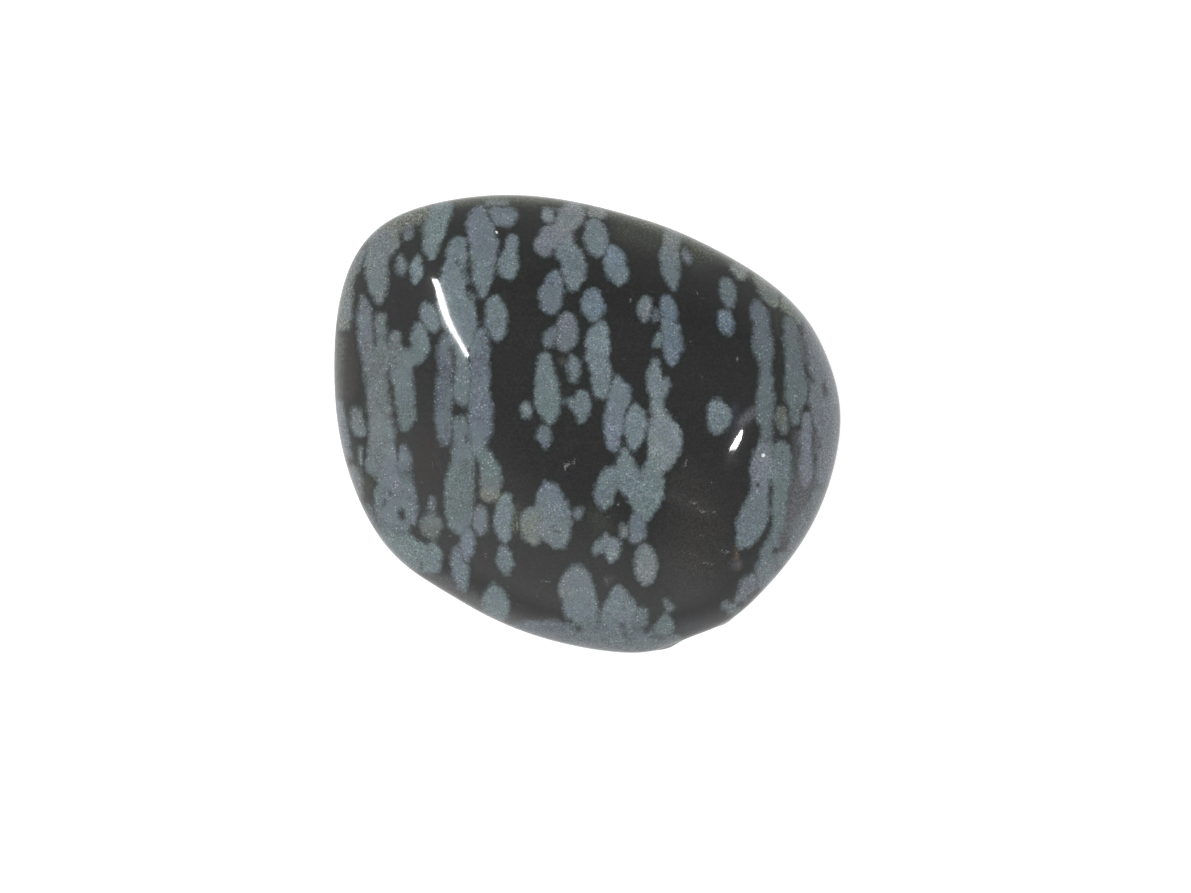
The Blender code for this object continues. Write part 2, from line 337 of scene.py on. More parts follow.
    ("slate", 0.98, ((4.9, 10.4, 0.48), (4.82, 10.0, 0.58), (4.92, 9.3, 0.54), (5.03, 8.7, 0.38),
        (5.1, 8.0, 0.12))),
    ("lilac", 0.95, ((5.75, 10.15, 0.2), (5.92, 9.72, 0.24))),
    ("blue", 0.95, ((4.7, 7.35, 0.32), (4.78, 6.7, 0.5), (4.8, 6.0, 0.45), (4.95, 5.4, 0.55))),
    ("blue", 0.89, ((4.95, 5.4, 0.55), (5.03, 4.8, 0.62), (5.0, 4.1, 0.44), (4.98, 3.6, 0.14))),
    ("green", 0.95, ((4.3, 5.15, 0.28), (4.15, 4.75, 0.27))),
    ("pale", 0.95, ((3.45, 7.2, 0.32), (3.4, 6.8, 0.46), (3.35, 6.35, 0.28))),
    ("lilac", 0.68, ((4.0, 6.7, 0.15), (4.05, 6.2, 0.18))),
    ("slate", 1.27, ((4.05, 3.7, 0.22), (3.95, 3.0, 0.42), (4.0, 2.3, 0.45), (4.08, 1.6, 0.38),
        (4.15, 0.9, 0.38))),
    ("pale", 1.17, ((4.15, 0.9, 0.38), (4.35, 0.2, 0.55), (4.5, -0.4, 0.88), (4.55, -1.1, 1.0),
        (4.45, -1.8, 0.85), (4.35, -2.4, 0.5))),
    ("slate", 0.93, ((4.0, 2.3, 0.35), (4.5, 2.4, 0.3), (4.5, 1.95, 0.35))),
    ("green", 1.08, ((4.45, -1.8, 0.6), (3.95, -2.5, 0.55), (3.88, -3.1, 0.64), (3.8, -3.8, 0.72),
        (3.7, -4.4, 0.72), (3.4, -4.9, 0.66), (3.35, -5.4, 0.42))),
    ("slate", 1.05, ((3.7, -4.4, 0.6), (3.0, -4.15, 0.66), (2.6, -3.6, 0.72), (2.35, -3.0, 0.64),
        (2.25, -2.4, 0.52), (2.2, -1.75, 0.28))),
    ("slate", 0.98, ((2.35, -3.0, 0.4), (1.6, -2.9, 0.42), (1.15, -3.4, 0.57), (1.02, -4.0, 0.6),
        (1.0, -4.5, 0.42), (1.05, -4.95, 0.14))),
    ("violet", 0.95, ((2.95, -5.7, 0.42), (3.0, -6.3, 0.5), (2.8, -6.7, 0.4))),
    ("beige", 0.75, ((2.05, -6.1, 0.2), (2.2, -6.5, 0.28))),
    ("mauve", 1.0, ((3.4, -7.5, 0.42), (3.42, -8.0, 0.64), (3.44, -8.6, 0.66), (3.5, -9.15, 0.35))),
    ("pale", 1.05, ((1.15, -6.75, 0.2), (1.45, -7.15, 0.46), (1.42, -7.65, 0.4), (1.36, -8.05, 0.14))),
    ("slate", 0.9, ((1.45, -7.15, 0.4), (0.85, -7.2, 0.4), (0.58, -7.4, 0.3))),
    ("slate", 1.1, ((7.65, 1.1, 0.42), (7.75, 0.5, 0.7), (7.75, 0.05, 0.55), (7.7, -0.4, 0.25))),
    # Right.
    ("slate", 0.9, ((8.2, 8.25, 0.4), (8.3, 7.7, 0.5), (8.4, 7.25, 0.35))),
    ("blue", 0.96, ((8.15, 6.4, 0.36), (8.25, 5.9, 0.44), (8.35, 5.5, 0.28))),
    ("beige", 1.38, ((8.75, 9.25, 0.28), (9.1, 8.9, 0.36))),
    ("olive", 1.28, ((10.1, 8.6, 0.3), (10.6, 8.05, 0.48), (10.95, 7.5, 0.45), (11.1, 7.15, 0.2))),
    ("olive", 1.3, ((11.55, 7.4, 0.2), (11.9, 7.0, 0.42), (12.2, 6.6, 0.5), (12.45, 6.2, 0.4))),
    ("violet", 0.84, ((10.0, 6.95, 0.35), (10.15, 6.5, 0.52), (10.3, 6.1, 0.45))),
    ("slate", 0.77, ((10.3, 6.1, 0.4), (10.38, 5.2, 0.56), (10.42, 4.6, 0.6), (10.45, 4.0, 0.5),
        (10.5, 3.4, 0.36), (10.55, 2.6, 0.45), (10.55, 1.8, 0.5), (10.55, 1.0, 0.5), (10.5, 0.4, 0.45),
        (10.6, -0.3, 0.36), (10.6, -1.0, 0.36))),
    ("green", 0.82, ((12.0, 6.2, 0.42), (12.1, 5.2, 0.5), (12.15, 4.3, 0.5), (12.25, 3.5, 0.52),
        (12.35, 2.6, 0.66), (12.35, 1.8, 0.66), (12.35, 1.2, 0.5), (12.3, 0.6, 0.34), (12.3, 0.1, 0.22))),
    ("lilac", 1.0, ((12.95, 6.1, 0.32), (13.25, 5.4, 0.48), (13.5, 4.6, 0.55), (13.65, 3.8, 0.62),
        (13.75, 3.0, 0.7), (13.9, 2.0, 0.78), (13.95, 1.2, 0.85), (14.1, 0.2, 0.76), (14.3, -0.8, 0.5),
        (14.2, -1.8, 0.5), (14.0, -2.8, 0.46), (13.78, -3.7, 0.38))),
    ("beige", 0.76, ((11.45, 0.75, 0.3), (11.5, 0.2, 0.36), (11.65, -0.4, 0.22))),
    ("lilac", 1.13, ((13.0, 0.4, 0.36), (12.95, -0.5, 0.36), (12.95, -1.4, 0.38), (12.95, -2.4, 0.38),
        (12.95, -3.4, 0.34))),
    ("lilac", 1.27, ((10.6, -1.0, 0.42), (10.4, -1.8, 0.56), (10.3, -2.6, 0.66), (10.3, -3.3, 0.56),
        (10.25, -3.8, 0.5))),
    ("slate", 1.03, ((10.25, -3.8, 0.5), (10.15, -4.3, 0.58), (10.0, -4.9, 0.72), (9.8, -5.5, 0.86),
        (9.6, -6.1, 0.8), (9.35, -6.7, 0.55), (9.1, -7.2, 0.25))),
    ("slate", 1.1, ((10.3, -2.6, 0.45), (10.8, -2.8, 0.45), (11.45, -3.0, 0.5))),
    ("green", 0.97, ((11.45, -3.0, 0.58), (11.5, -2.2, 0.56), (11.5, -1.5, 0.48))),
    ("green", 0.97, ((11.45, -3.0, 0.58), (11.42, -3.8, 0.52), (11.38, -4.6, 0.44),
        (11.33, -5.4, 0.34), (11.3, -6.0, 0.32), (11.1, -6.6, 0.38), (11.0, -6.9, 0.4))),
    ("slate", 0.82, ((11.0, -6.9, 0.4), (10.8, -7.4, 0.45), (10.75, -8.0, 0.62), (10.6, -8.6, 0.62),
        (10.35, -9.3, 0.5))),
    ("pale", 0.72, ((13.78, -3.7, 0.38), (13.48, -4.8, 0.36), (13.1, -5.4, 0.44), (12.72, -6.0, 0.5),
        (12.5, -6.6, 0.42), (12.25, -7.2, 0.38), (11.85, -7.8, 0.38), (11.3, -8.0, 0.45))),
    ("lilac", 0.83, ((9.8, -9.2, 0.35), (9.5, -9.6, 0.52), (9.3, -10.0, 0.45), (9.0, -10.3, 0.25))),
    ("green", 0.72, ((8.25, -10.75, 0.28), (8.6, -11.0, 0.34))),
    # Bottom.
    ("violet", 0.7, ((-4.3, -12.0, 0.2), (-3.3, -12.15, 0.45), (-2.4, -12.3, 0.65), (-1.5, -12.5, 0.7))),
    ("slate", 0.68, ((-1.5, -12.5, 0.7), (-0.5, -12.6, 0.85), (0.6, -12.6, 0.85), (1.8, -12.6, 0.85),
        (3.0, -12.7, 0.75), (4.2, -12.8, 0.5), (5.2, -12.8, 0.35))),
    ("slate", 0.89, ((-0.5, -12.6, 0.8), (-0.3, -11.6, 0.92), (-0.45, -10.8, 1.0),
        (-0.52, -10.0, 0.92), (-0.6, -9.1, 0.78))),
    ("beige", 0.85, ((-0.6, -9.1, 0.6), (-0.92, -9.4, 0.68), (-1.05, -10.0, 0.6))),
    ("slate", 0.92, ((1.8, -12.6, 0.85), (1.9, -11.5, 1.15), (1.9, -10.9, 0.9), (1.85, -10.4, 0.62),
        (1.8, -9.95, 0.33))),
    ("slate", 0.73, ((3.2, -11.2, 0.42), (3.0, -11.8, 0.6))),
    ("green", 0.83, ((4.6, -11.7, 0.38), (4.5, -12.1, 0.6), (4.3, -12.5, 0.4))),
    ("olive", 0.36, ((4.7, -10.5, 0.14), (4.9, -10.8, 0.24))),
)

# Dark glass inside and between the snowflakes: knots (x, y, half width).
FISSURES = (
    ((-12.7, 5.7, 0.1), (-12.6, 5.1, 0.12), (-12.55, 4.7, 0.1)),
    ((-11.85, 5.2, 0.12), (-11.85, 4.9, 0.1)),
    ((-11.75, 3.1, 0.12), (-11.6, 1.5, 0.12), (-11.4, 0.3, 0.14), (-11.3, -0.8, 0.14),
        (-11.25, -1.7, 0.1)),
    ((-8.0, 4.5, 0.12), (-7.95, 4.0, 0.12)),
    ((-8.0, 2.4, 0.1),),
    ((-7.8, 0.7, 0.3), (-7.5, 0.65, 0.25)),
    ((-7.2, -0.7, 0.07), (-7.15, -1.0, 0.07)),
    ((-5.85, -1.5, 0.16),),
    ((-6.6, -3.2, 0.06), (-6.55, -4.2, 0.08)),
    ((-10.6, -2.85, 0.1),),
    ((-10.35, -6.1, 0.2), (-10.0, -6.5, 0.22), (-9.5, -6.9, 0.16), (-9.0, -7.0, 0.1)),
    ((-10.97, -5.2, 0.16), (-10.95, -5.55, 0.14)),
    ((-9.85, -8.3, 0.1), (-9.9, -8.6, 0.12)),
    ((-7.8, 9.8, 0.03), (-7.6, 9.4, 0.06), (-7.32, 9.0, 0.11), (-7.15, 8.5, 0.11), (-7.05, 8.0, 0.09),
        (-6.9, 7.4, 0.04)),
    ((-1.95, -6.3, 0.05), (-1.8, -6.45, 0.05)),
    ((1.85, -4.2, 0.12), (1.8, -4.9, 0.25)),
    ((3.12, -1.7, 0.14), (3.15, -3.0, 0.1)),
    ((3.45, -0.5, 0.08), (3.3, -1.5, 0.1)),
    ((4.75, -3.0, 0.16),),
    ((10.05, -3.65, 0.13),),
    ((10.83, -3.6, 0.0), (10.83, -4.9, 0.03), (10.93, -5.5, 0.1), (10.8, -6.0, 0.04),
        (10.66, -6.4, 0.05)),
    ((-1.85, 12.05, 0.06), (-1.95, 11.9, 0.06)),
    ((-1.75, 9.4, 0.22),),
    ((12.75, 5.6, 0.02), (12.85, 4.5, 0.03), (12.85, 3.6, 0.06)),
    ((12.85, 3.5, 0.08), (13.1, 2.9, 0.12), (13.35, 2.5, 0.1)),
    ((13.1, 0.85, 0.1),),
    ((-8.1, 4.6, 0.08), (-8.05, 4.2, 0.1)),
    ((12.35, -0.4, 0.16), (12.35, -1.8, 0.16), (12.35, -3.9, 0.2)),
    ((11.1, 0.7, 0.08), (11.1, -0.7, 0.12), (11.5, -0.95, 0.12), (12.0, -0.7, 0.12), (12.05, 0.0, 0.1)),
    ((0.75, -8.5, 0.2), (0.75, -9.6, 0.2), (0.75, -10.4, 0.16), (0.72, -10.95, 0.08)),
    ((-1.0, -11.7, 0.15),),
    ((-0.5, -12.15, 0.2), (-0.7, -12.0, 0.15)),
    ((2.05, -12.0, 0.2), (2.15, -12.4, 0.05)),
    ((3.5, -12.2, 0.2),),
    ((3.7, -12.62, 0.05), (4.4, -12.65, 0.05)),
    ((-13.95, -0.6, 0.08), (-13.75, -1.6, 0.15)),
    ((14.05, 2.6, 0.08), (14.05, 1.7, 0.08)),
    ((-11.65, -4.05, 0.07),),
    ((-12.0, -4.5, 0.05), (-12.0, -4.8, 0.07)),
    ((11.15, -7.3, 0.08), (11.15, -7.5, 0.14)),
    ((11.12, -0.9, 0.12), (11.05, -1.3, 0.05)),
    ((9.6, -10.2, 0.1),),
)

# Patches of tinted or clouded glass, along the rim partly a painted reflection of the room: tint, how far
# the edge fades, strength, knots (x, y, half width).
CLOUDS_AND_PAINTED_SHEEN = (
    # Along the upper rim and the left one, where the lighter haze is partly a painted reflection of the
    # room and partly tinted glass.
    ("frost", 0.3, 0.95, ((-13.0, 10.6, 0.12), (-12.3, 11.4, 0.4), (-11.4, 12.0, 0.6),
        (-10.4, 12.4, 0.65), (-9.5, 12.6, 0.5))),
    ("frost", 0.2, 0.5, ((-8.4, 13.2, 0.2), (-6.5, 13.4, 0.2), (-4.5, 13.5, 0.2), (-2.2, 13.3, 0.2))),
    ("moss", 0.45, 0.9, ((-7.9, 13.25, 0.45), (-5.0, 13.4, 0.45), (-2.0, 13.2, 0.45),
        (1.0, 12.7, 0.45), (3.5, 11.95, 0.5), (6.0, 10.95, 0.5), (8.5, 9.7, 0.4), (10.5, 8.5, 0.4))),
    ("moss", 0.9, 0.64, ((2.2, 11.5, 0.5), (4.2, 10.8, 0.5), (6.6, 9.9, 0.5))),
    ("moss", 0.35, 0.5, ((6.2, 10.4, 0.35), (7.4, 9.8, 0.35))),
    ("frost", 0.25, 0.25, ((2.6, 12.2, 0.2), (4.2, 11.6, 0.2), (6.2, 10.8, 0.28), (8.0, 9.85, 0.25),
        (9.4, 9.2, 0.15))),
    ("frost", 0.3, 0.3, ((-14.6, 5.0, 0.3), (-14.7, 3.0, 0.2), (-14.7, 1.6, 0.2))),
    ("umber", 0.3, 0.6, ((-13.9, 5.6, 0.3), (-13.95, 3.0, 0.35), (-14.0, 1.8, 0.3))),
    ("moss", 0.3, 0.4, ((-13.0, -2.6, 0.35), (-12.8, -3.8, 0.4))),
    # Between the snowflakes on the left.
    ("pine", 0.5, 0.6, ((-8.2, -6.7, 0.5), (-8.3, -7.6, 0.4))),
    ("warm", 0.8, 0.8, ((-9.4, -0.8, 0.6), (-9.5, -3.0, 0.8))),
    ("moss", 0.45, 1.0, ((-4.3, -5.0, 0.2), (-4.3, -6.2, 0.2))),
    ("frost", 0.3, 0.35, ((-1.45, 3.7, 0.2),)),
    ("moss", 0.7, 0.4, ((0.6, -5.4, 0.5), (1.0, -6.2, 0.5))),
    ("plum", 0.3, 0.4, ((1.3, -9.3, 0.3),)),
    ("smoke", 0.5, 0.3, ((4.6, -4.1, 0.15), (5.8, -4.5, 0.2), (7.2, -5.2, 0.2))),
    ("brown", 1.6, 0.3, ((5.8, -3.5, 1.0), (6.6, -5.5, 1.6), (6.4, -8.0, 1.6))),
    # On the right.
    ("mist", 0.3, 0.95, ((13.65, -0.6, 0.25), (13.6, -1.7, 0.25))),
    ("smoke", 0.4, 1.0, ((12.4, -0.6, 0.2), (12.4, -2.0, 0.2), (12.5, -3.4, 0.5), (12.5, -4.8, 0.7),
        (12.1, -5.6, 0.5), (11.8, -6.4, 0.35))),
    ("mist", 0.35, 0.5, ((12.6, -3.8, 0.6), (12.5, -4.8, 0.7), (12.1, -5.6, 0.5), (11.8, -6.4, 0.35),
        (11.6, -7.2, 0.25))),
    ("mist", 0.25, 0.7, ((13.4, -2.6, 0.15), (13.35, -4.0, 0.2))),
    ("mist", 0.3, 0.9, ((12.75, 5.0, 0.2), (12.85, 3.8, 0.2))),
    ("rust", 0.18, 0.8, ((8.8, -7.15, 0.04), (8.85, -7.9, 0.07), (8.95, -8.5, 0.04))),
    ("plum", 0.3, 0.8, ((8.8, -8.3, 0.3),)),
    ("mist", 0.4, 0.5, ((8.95, -0.45, 0.1), (8.7, -1.1, 0.1))),
    ("moss", 0.3, 0.45, ((11.2, 6.6, 0.2), (11.25, 5.4, 0.2))),
    ("mist", 0.35, 0.95, ((9.1, 0.1, 0.15), (9.5, 0.45, 0.22), (10.0, 0.85, 0.2))),
    ("ink", 0.3, 1.0, ((8.65, 1.0, 0.2), (8.6, 0.2, 0.2), (8.3, -0.5, 0.15))),
    ("brown", 0.25, 0.3, ((8.3, -1.75, 0.1), (8.5, -2.1, 0.14), (8.8, -2.2, 0.08))),
    # Along the lower rim, where the lighter haze is partly a painted reflection of the room and partly
    # tinted glass.
    ("smoke", 0.4, 0.6, ((-9.3, -9.0, 0.4), (-8.3, -9.6, 0.4), (-7.0, -10.4, 0.4))),
    ("plum", 0.35, 0.4, ((-8.1, -9.1, 0.35), (-7.6, -9.8, 0.3))),
    ("smoke", 0.4, 0.8, ((-6.6, -10.7, 0.35), (-4.2, -11.8, 0.3), (-2.0, -12.0, 0.5))),
    ("smoke", 0.5, 0.35, ((0.0, -12.3, 0.8), (3.5, -12.4, 0.8))),
    ("ink", 0.4, 0.5, ((5.4, -12.0, 0.4), (7.2, -11.9, 0.3))),
)

# Wisps and specks of crystal dust in the glass: how dense, knots (x, y, half width).
DUST = (
    (0.5, ((5.8, -2.1, 0.1), (5.78, -2.45, 0.12))),
    (0.3, ((4.95, -4.2, 0.05), (5.5, -4.5, 0.07), (5.85, -4.6, 0.05))),
    (0.6, ((6.05, -4.62, 0.08), (6.4, -4.7, 0.1))),
    (0.45, ((6.45, -5.0, 0.09), (6.75, -5.15, 0.12), (7.05, -5.15, 0.06))),
    (0.55, ((7.35, -5.2, 0.06), (7.6, -5.3, 0.07))),
    (0.35, ((6.0, -6.3, 0.08), (6.2, -6.55, 0.1))),
    (0.45, ((6.7, -6.55, 0.08), (7.0, -6.6, 0.08))),
    (0.4, ((5.5, -7.5, 0.06), (5.95, -7.6, 0.1), (6.4, -7.8, 0.07))),
    (0.45, ((7.9, -7.55, 0.08), (8.45, -7.6, 0.08))),
    (0.45, ((6.7, -8.2, 0.08), (7.5, -8.3, 0.08))),
    (0.16, ((6.2, -8.6, 0.3), (7.4, -8.9, 0.4))),
    (0.45, ((8.85, 3.85, 0.15),)),
    (0.35, ((6.2, 4.85, 0.1), (5.9, 4.9, 0.06))),
    (0.35, ((6.1, 5.55, 0.06), (6.3, 5.55, 0.06))),
    (0.3, ((6.65, 2.8, 0.08), (6.9, 2.8, 0.06))),
    (0.5, ((-1.22, -2.35, 0.16), (-1.32, -2.6, 0.16))),
    (0.45, ((-0.85, -2.3, 0.14), (-0.75, -2.1, 0.08))),
    (0.4, ((0.8, -5.35, 0.06), (1.6, -5.5, 0.07))),
    (0.55, ((1.85, -4.75, 0.12),)),
    (0.35, ((1.3, -5.1, 0.06), (1.6, -5.0, 0.06))),
    (0.45, ((-2.7, -9.25, 0.08), (-2.25, -9.3, 0.08))),
    (0.35, ((1.05, -9.1, 0.12), (1.1, -9.5, 0.12))),
    (0.35, ((-9.2, -2.6, 0.12), (-9.1, -2.3, 0.08))),
    (0.5, ((-4.2, -5.2, 0.08), (-4.1, -6.2, 0.1))),
    (0.35, ((-6.05, -7.6, 0.1), (-6.0, -8.0, 0.1))),
    (0.3, ((4.7, -10.5, 0.14), (4.9, -10.8, 0.2))),
    (0.85, ((2.6, 7.35, 0.07),)),
    (0.7, ((6.5, 7.75, 0.07),)),
    (0.65, ((8.55, -1.78, 0.08),)),
)

# Painted highlights where grains catch the light, laid into the colour as near-white spots: x, y and half
# width.
PAINTED_GLINTS = (
    (10.4, -1.85, 0.16),
    (-5.37, 11.35, 0.13),
    (7.38, -3.48, 0.1),
    (-3.62, 0.92, 0.1),
    (1.36, -7.96, 0.11),
    (-12.5, 7.3, 0.1),
)

# Where tumbling left the rim a little short or proud: x, y, radius and depth.
NICKS = (
    (-9.3, -9.35, 0.8, 0.1),
    (-8.1, -10.05, 0.5, 0.05),
    (-6.4, -11.1, 0.5, 0.05),
    (11.75, -8.2, 0.6, 0.05),
    (4.9, -13.4, 1.2, -0.13),
    (8.1, -11.6, 0.9, -0.08),
    (8.95, -10.75, 0.9, 0.09),
)


class PebbleSettings(bpy.types.PropertyGroup):
    """Sizes and finish of the stone"""

    net: bpy.props.IntProperty(
        name="Net",
        description="Squares along each side of the six nets that cover the stone",
        default=128,
        min=16,
        max=128,
    )
    settling: bpy.props.IntProperty(
        name="Settling",
        description="How often the skin is evened out, as tumbling does",
        default=36,
        min=0,
    )
    ripple: bpy.props.FloatProperty(
        name="Ripple",
        description="Height of the low waves that tumbling leaves",
        default=0.03 * MM,
        subtype="DISTANCE",
        precision=5,
    )
    ripple_length: bpy.props.FloatProperty(
        name="Ripple length",
        description="Distance between the low waves",
        default=6.0 * MM,
        subtype="DISTANCE",
        precision=4,
    )
    edge_fuzz: bpy.props.FloatProperty(
        name="Edge fuzz",
        description="Width of a snowflake's crystalline edge",
        default=0.42 * MM,
        subtype="DISTANCE",
        precision=5,
    )
    glass_roughness: bpy.props.FloatProperty(
        name="Glass roughness",
        description="Of the polished glass",
        default=0.04,
        min=0,
        max=1,
        subtype="FACTOR",
    )
    flake_roughness: bpy.props.FloatProperty(
        name="Snowflake roughness",
        description="Of the snowflakes, which take a duller polish",
        default=0.08,
        min=0,
        max=1,
        subtype="FACTOR",
    )
    seed: bpy.props.IntProperty(
        name="Seed",
        description="Of the snowflakes that the picture doesn't show",
        default=7,
    )


class StudioSettings(bpy.types.PropertyGroup):
    """Floor, lights and camera"""

    floor_colour: bpy.props.StringProperty(
        name="Floor",
        description="Floor colour as sRGB hex",
        default="#E9E9E9",
    )
    floor_glow: bpy.props.FloatProperty(
        name="Floor glow",
        description="Light that comes through the floor, as on a light table",
        default=0.46,
        min=0,
    )
    fill: bpy.props.FloatProperty(
        name="Fill",
        description="Radiance of the soft overhead light",
        default=1.0,
        min=0,
    )
    left_lamp: bpy.props.FloatProperty(
        name="Left lamp",
        description="Radiance of the lamp at the upper left",
        default=60.0,
        min=0,
    )
    right_lamp: bpy.props.FloatProperty(
        name="Right lamp",
        description="Radiance of the lamp at the right",
        default=40.0,
        min=0,
    )
    field: bpy.props.FloatProperty(
        name="Field",
        description="Width that the picture shows at the widest section",
        default=70.47 * MM,
        subtype="DISTANCE",
        precision=4,
    )
    distance: bpy.props.FloatProperty(
        name="Distance",
        description="From the camera down to the widest section",
        default=(EYE[2] - WIDEST_HEIGHT) * MM,
        subtype="DISTANCE",
    )


def linear(hex_colour):
    """An sRGB hex colour as linear RGBA."""
    parts = [int(hex_colour[i : i + 2], 16) / 255 for i in (1, 3, 5)]
    return (*(part / 12.92 if part <= 0.04045 else ((part + 0.055) / 1.055) ** 2.4 for part in parts), 1.0)


def add_node(tree, kind, inputs=(), **settings):
    """Adds a node with its settings. The inputs go by name or number, or simply in order. Each one is a
    value, an output that is linked to it, or a node, whose first output in use is linked to it."""
    node = tree.nodes.new(kind)
    for name, value in settings.items():
        setattr(node, name, value)
    for key, value in inputs.items() if isinstance(inputs, dict) else enumerate(inputs):
        if isinstance(value, bpy.types.Node):
            value = next(output for output in value.outputs if output.enabled)
        if isinstance(value, bpy.types.NodeSocket):
            tree.links.new(value, node.inputs[key])
        else:
            node.inputs[key].default_value = value
    return node


def link_object(name, data):
    """A new object in the scene."""
    made = bpy.data.objects.new(name, data)
    bpy.context.scene.collection.objects.link(made)
    return made


def welded_copy(node):
    """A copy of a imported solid's mesh with its loose triangles joined."""
    shape = bmesh.new()
    shape.from_mesh(node.data)
    bmesh.ops.remove_doubles(shape, verts=shape.verts[:], dist=WELD_DISTANCE)
    mesh = bpy.data.meshes.new("rough_stone")
    shape.to_mesh(mesh)
    shape.free()
    return mesh


def skin_tree():
    """Geometry Nodes that lay a fine net over the rough stone from its middle and even it out."""
    tree = bpy.data.node_groups.new("Polished skin", "GeometryNodeTree")
    tree.is_modifier = True
    for name, kind in (
        ("Geometry", "Geometry"),
        ("Rough stone", "Object"),
        ("Net", "Int"),
        ("Middle", "Vector"),
        ("Half size", "Vector"),
        ("Settling", "Int"),
        ("Ripple", "Float"),
        ("Ripple length", "Float"),
        ("Seed", "Float"),
        ("Finish", "Material"),
    ):
        tree.interface.new_socket(name=name, in_out="INPUT", socket_type="NodeSocket" + kind)
    tree.interface.new_socket(name="Geometry", in_out="OUTPUT", socket_type="NodeSocketGeometry")
    add = partial(add_node, tree)
    given = add("NodeGroupInput").outputs

    # A ray goes out from the middle for each point of a cube's net. The tangent spreads them evenly.
    place = add("GeometryNodeInputPosition")
    sides = {f"Vertices {axis}": given["Net"] for axis in "XYZ"}
    cube = add("GeometryNodeMeshCube", {"Size": (2, 2, 2), **sides})
    turned = add(VECTOR, {0: place, "Scale": math.pi / 4}, operation="SCALE")
    spread = add(VECTOR, {0: turned}, operation="TANGENT")
    outward = add(VECTOR, {0: spread}, operation="NORMALIZE")
    rough = add("GeometryNodeObjectInfo", {"Object": given["Rough stone"]}, transform_space="ORIGINAL")
    rays = {
        "Target Geometry": rough.outputs["Geometry"],
        "Source Position": given["Middle"],
        "Ray Direction": add(VECTOR, (outward, given["Half size"]), operation="MULTIPLY"),
        "Ray Length": RAY_LENGTH,
    }
    hits = add("GeometryNodeRaycast", rays).outputs["Hit Position"]
    settling = {"Value": hits, "Iterations": given["Settling"]}
    evened = add("GeometryNodeBlurAttribute", settling, data_type="FLOAT_VECTOR").outputs["Value"]
    laid = add("GeometryNodeSetPosition", {"Geometry": cube, "Position": evened})

    # Low waves, and the nicks and swellings along the rim.
    fineness = add(MATHS, (1.0, given["Ripple length"]), operation="DIVIDE")
    waves = add(NOISE, {"W": given["Seed"], "Scale": fineness, "Detail": 0.0}, noise_dimensions="4D")
    swing = add(MATHS, (waves, 0.5), operation="SUBTRACT")
    height = add(MATHS, (swing, given["Ripple"]), operation="MULTIPLY")
    for x, y, radius, depth in NICKS:
        away = add(VECTOR, (place, (x * MM, y * MM, WIDEST_HEIGHT * MM)), operation="DISTANCE")
        nick = add(RAMP, (away, 0.0, radius * MM, -depth * MM, 0.0), **SMOOTH)
        height = add(MATHS, (height, nick), operation="ADD")
    offset = add(VECTOR, {0: add("GeometryNodeInputNormal"), "Scale": height}, operation="SCALE")
    waved = add("GeometryNodeSetPosition", {"Geometry": laid, "Offset": offset})

    smooth = add("GeometryNodeSetShadeSmooth", {"Geometry": waved})
    real = add("GeometryNodeRealizeInstances", {"Geometry": smooth})
    finished = add("GeometryNodeSetMaterial", {"Geometry": real, "Material": given["Finish"]})
    add("NodeGroupOutput", {"Geometry": finished})
    return tree


def polished_skin(look, finish):
    """The stone's polished skin as a plain mesh object."""
    low, high = (Vector(corner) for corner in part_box(STONE))
    rough = link_object("rough_stone", welded_copy(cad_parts[STONE]))
    net = link_object("skin_net", bpy.data.meshes.new("skin_net"))
    modifier = net.modifiers.new("Polished skin", "NODES")
    modifier.node_group = skin_tree()
    sockets = {
        item.name: item.identifier
        for item in modifier.node_group.interface.items_tree
        if item.item_type == "SOCKET" and item.in_out == "INPUT"
    }
    for name, value in {
        "Rough stone": rough,
        "Net": look.net + 1,
        "Middle": (low + high) / 2,
        "Half size": (high - low) / 2,
        "Settling": look.settling,
        "Ripple": look.ripple,
        "Ripple length": look.ripple_length,
        "Seed": float(look.seed),
        "Finish": finish,
    }.items():
        modifier[sockets[name]] = value
    evaluated = net.evaluated_get(bpy.context.evaluated_depsgraph_get())
    mesh = bpy.data.meshes.new_from_object(evaluated)
    mesh.name = "polished_skin"
    net.modifiers.remove(modifier)
    for spare in (net, rough):
        bpy.data.objects.remove(spare, do_unlink=True)
    if len(mesh.polygons) == 0:
        raise RuntimeError("the net over the stone came out empty")
    return link_object("polished_stone", mesh)


def smooth_chain(knots):
    """The knots of a stroke, with three more between each pair on one smooth curve."""
    knots = np.array(knots, dtype=float)
    if len(knots) == 1:
        return np.vstack((knots, knots))
    held = np.vstack((2 * knots[0] - knots[1], knots, 2 * knots[-1] - knots[-2]))
    made = []
    for before, start, stop, after in zip(held, held[1:], held[2:], held[3:]):
        for share in CURVE_SHARES:
            bend = 2 * before - 5 * start + 4 * stop - after
            twist = 3 * start - before - 3 * stop + after
            made.append(0.5 * (2 * start + (stop - before) * share + bend * share**2 + twist * share**3))
    made.append(knots[-1])
    return np.array(made)


def in_picture(knots):
    """A stroke of the tables as a chain of (x, y, 0, half width)."""
    return np.insert(smooth_chain(knots), 2, 0.0, axis=1)


def as_seen(points):
    """Each point as seen from EYE in the plane of the widest section, and how far it lies below the hem."""
    eye = np.array(EYE)
    scale = (eye[2] - WIDEST_HEIGHT) / (eye[2] - points[:, 2])
    flat = eye[:2] + (points[:, :2] - eye[:2]) * scale[:, None]
    hem = WIDEST_HEIGHT
    for height, along_x, along_y in HEM_WAVES:
        hem = hem + height * np.sin(along_x * points[:, 0] + along_y * points[:, 1])
    return np.column_stack((flat, HEM_FADE * np.minimum(points[:, 2] - hem, 0.0)))


